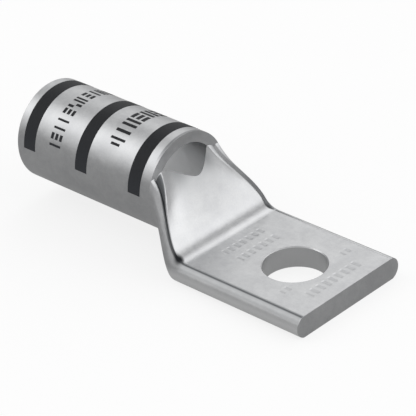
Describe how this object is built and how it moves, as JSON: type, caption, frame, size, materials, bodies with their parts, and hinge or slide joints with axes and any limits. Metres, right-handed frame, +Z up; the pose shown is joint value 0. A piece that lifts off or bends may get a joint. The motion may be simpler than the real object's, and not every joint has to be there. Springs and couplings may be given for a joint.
{
  "type": "cable lug",
  "caption": "Compression cable lug: a round tinned-copper barrel for a stranded conductor, a sloping neck with a sighting mouth and a flat tongue with a bolt hole.",
  "frame": {"origin": "centre of the bolt hole on the underside of the tongue", "axes": "+X along the lug towards the tip of the tongue, +Z up through the bolt hole, +Y across the tongue; the barrel opens towards -X"},
  "size_m": [0.0534, 0.0198, 0.016],
  "materials": {
    "tinned_copper": "satin tin plate over copper, with three black ink bands round the top of the barrel"
  },
  "bodies": {
    "root": {"cable_lug": "tinned_copper"}
  },
  "joints": []
}
